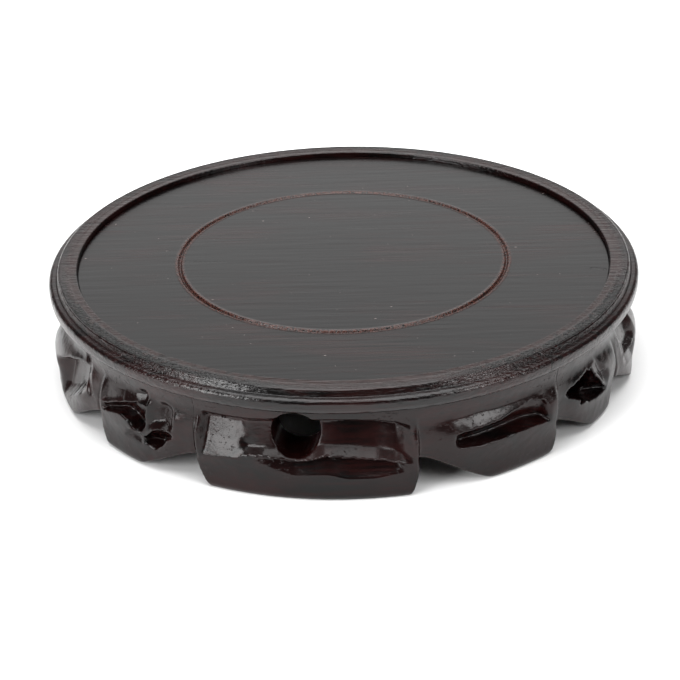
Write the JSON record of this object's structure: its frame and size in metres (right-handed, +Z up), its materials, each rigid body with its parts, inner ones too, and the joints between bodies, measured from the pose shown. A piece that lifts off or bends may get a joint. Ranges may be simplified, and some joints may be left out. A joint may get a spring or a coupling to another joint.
{
  "type": "round display stand",
  "caption": "Round dark hardwood stand: a framed flat panel with a turned groove and raised moulded lip, on a low carved ring of feet with arches and pierced holes.",
  "frame": {"origin": "on the table, on the axis of the round rim, at the middle of the bounding box's underside", "axes": "+Z up along the axis of the rim, -Y towards the pictured front, +X to the right and along the grain of the panel"},
  "size_m": [0.22, 0.22, 0.0431],
  "materials": {
    "rim_wood": "dark red-brown stain under thick glossy lacquer",
    "panel_wood": "near-black stain under lacquer with fine grain",
    "ring_wood": "hand-carved, dark red-brown stain under thick glossy lacquer",
    "inner_wood": "plain hardwood, oiled"
  },
  "bodies": {
    "root": {"rim_segment_1": "rim_wood", "rim_segment_2": "rim_wood", "rim_segment_3": "rim_wood", "rim_segment_4": "rim_wood", "rim_spline_1": "inner_wood", "rim_spline_2": "inner_wood", "rim_spline_3": "inner_wood", "rim_spline_4": "inner_wood", "panel_board_front": "panel_wood", "panel_board_middle": "panel_wood", "panel_board_back": "panel_wood", "panel_batten_1": "inner_wood", "panel_batten_2": "inner_wood", "foot_ring_segment_1": "ring_wood", "foot_ring_segment_2": "ring_wood", "foot_ring_segment_3": "ring_wood", "foot_ring_segment_4": "ring_wood", "foot_ring_segment_5": "ring_wood", "ring_dowel_1": "inner_wood", "ring_dowel_2": "inner_wood", "ring_dowel_3": "inner_wood", "ring_dowel_4": "inner_wood", "ring_dowel_5": "inner_wood", "ring_peg_1": "inner_wood", "ring_peg_2": "inner_wood", "ring_peg_3": "inner_wood", "ring_peg_4": "inner_wood", "ring_peg_5": "inner_wood", "ring_peg_6": "inner_wood", "ring_peg_7": "inner_wood", "ring_peg_8": "inner_wood", "ring_peg_9": "inner_wood", "ring_peg_10": "inner_wood"}
  },
  "joints": []
}
